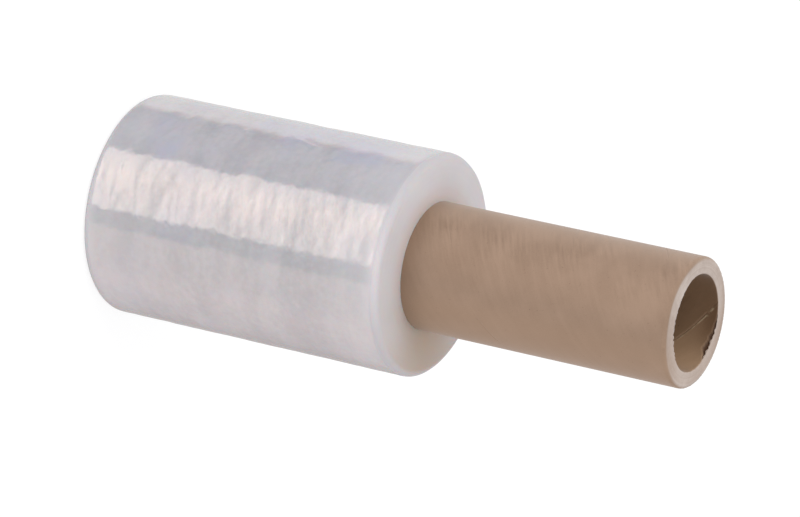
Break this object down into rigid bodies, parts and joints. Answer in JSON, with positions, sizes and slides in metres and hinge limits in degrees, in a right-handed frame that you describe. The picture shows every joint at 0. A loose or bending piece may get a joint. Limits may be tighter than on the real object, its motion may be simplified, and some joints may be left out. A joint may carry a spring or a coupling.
{
  "type": "stretch wrap roll",
  "caption": "Hand roll of clear stretch film on a kraft cardboard core that extends past one end as a handle.",
  "frame": {"origin": "middle of the end that the roll stands on, at the far end from the handle", "axes": "+Z along the roll's axis, from the standing end to the open mouth of the core; X and Y are any two directions across it"},
  "size_m": [0.0825, 0.0824, 0.231],
  "materials": {
    "stretch_film": "clear film wound tight, milky, glossy on the outside and frosted on the ends",
    "kraft_board": "matt kraft board with fine helical streaks, paler on the cut end"
  },
  "bodies": {
    "root": {"film_roll": "stretch_film", "cardboard_core": "kraft_board"}
  },
  "joints": []
}
